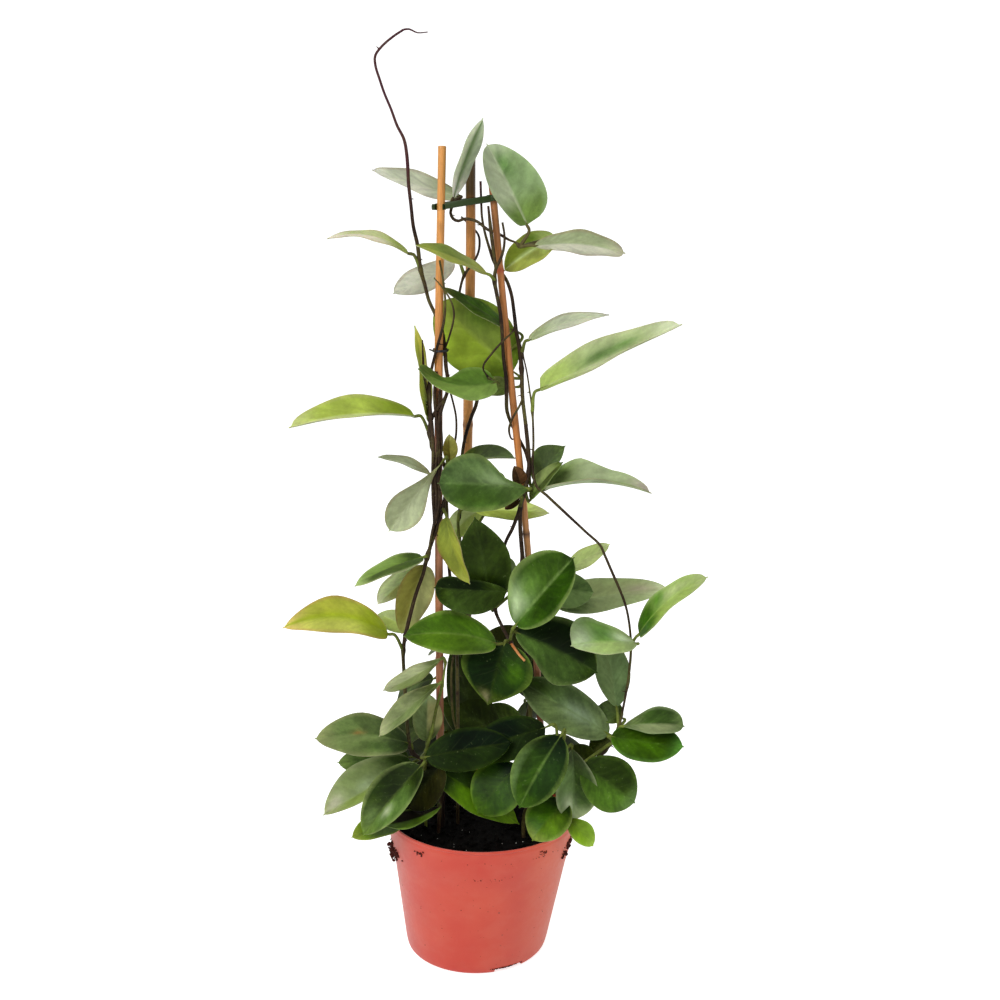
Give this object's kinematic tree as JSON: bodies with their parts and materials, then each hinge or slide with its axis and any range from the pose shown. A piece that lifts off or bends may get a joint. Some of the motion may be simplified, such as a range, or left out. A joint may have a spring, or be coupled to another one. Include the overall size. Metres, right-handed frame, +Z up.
{
  "type": "potted plant",
  "caption": "Climbing waxy-leaved houseplant twined up a tripod of bamboo canes in a red plastic nursery pot of soil.",
  "frame": {"origin": "on the pot's flat underside, a few millimetres behind its middle", "axes": "+Z up from the level floor; -Y towards the viewer of the picture; +X to the viewer's right"},
  "size_m": [0.3271, 0.1804, 0.7274],
  "materials": {
    "pot": "thin terracotta-red nursery pot plastic, semi-matt",
    "soil": "loose dark potting mix, matt",
    "cane": "split bamboo, satin",
    "clip": "dark green plastic, satin",
    "tie": "dark plastic-coated wire, satin",
    "foliage": "thick waxy leaves, satin gloss, on dark stems"
  },
  "bodies": {
    "root": {"pot": "pot", "soil": "soil", "cane_left": "cane", "cane_right": "cane", "cane_rear": "cane", "cane_clip": "clip", "cane_tie": "tie", "vine_left": "foliage", "vine_right": "foliage", "vine_rear": "foliage", "stems_low_left": "foliage", "stems_low_right": "foliage", "stems_back_left": "foliage", "stems_back_right": "foliage"}
  },
  "joints": []
}
